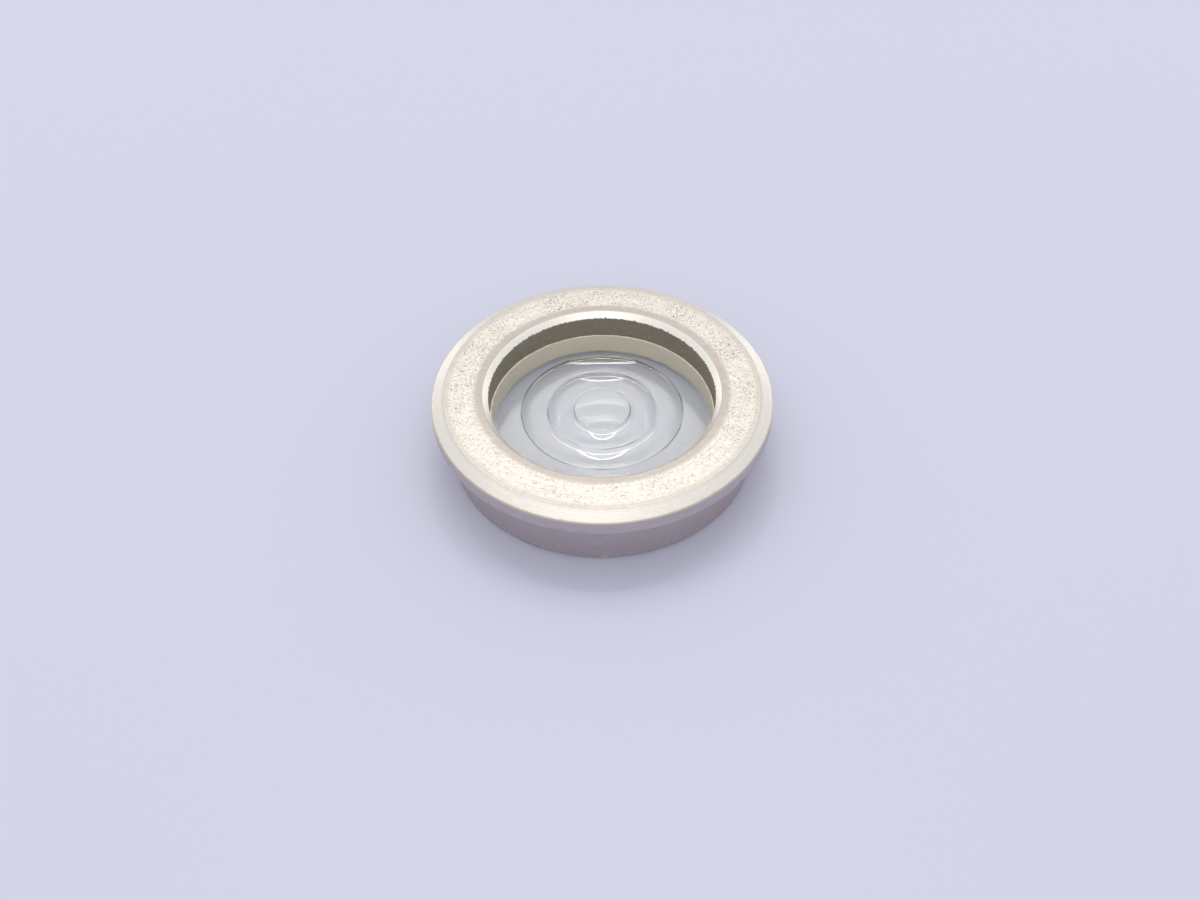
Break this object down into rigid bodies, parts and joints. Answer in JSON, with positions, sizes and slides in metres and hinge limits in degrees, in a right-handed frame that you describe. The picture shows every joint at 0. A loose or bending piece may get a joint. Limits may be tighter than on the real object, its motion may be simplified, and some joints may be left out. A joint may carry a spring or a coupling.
{
  "type": "sight glass",
  "caption": "Round press-in sight glass: a bevelled metal flange on a short spigot, with a thick clear lens moulded in concentric rings set deep in its bore.",
  "frame": {"origin": "centre of the ring's back face, the plane that the part stands on", "axes": "+Z along the lens axis, out of the viewing face; X and Y in the plane of the back face, interchangeable because every piece is round"},
  "size_m": [0.05, 0.05, 0.0115],
  "materials": {
    "ring_metal": "dull nickel plate over turned steel, mottled face, bright bevels",
    "lens_glass": "clear moulded glass, fire-polished",
    "sealing_compound": "smooth beige sealing compound"
  },
  "bodies": {
    "root": {"flanged_ring": "ring_metal", "sight_lens": "lens_glass", "seal_sleeve": "sealing_compound", "front_sealing_bead": "sealing_compound", "rear_sealing_bead": "sealing_compound"}
  },
  "joints": []
}
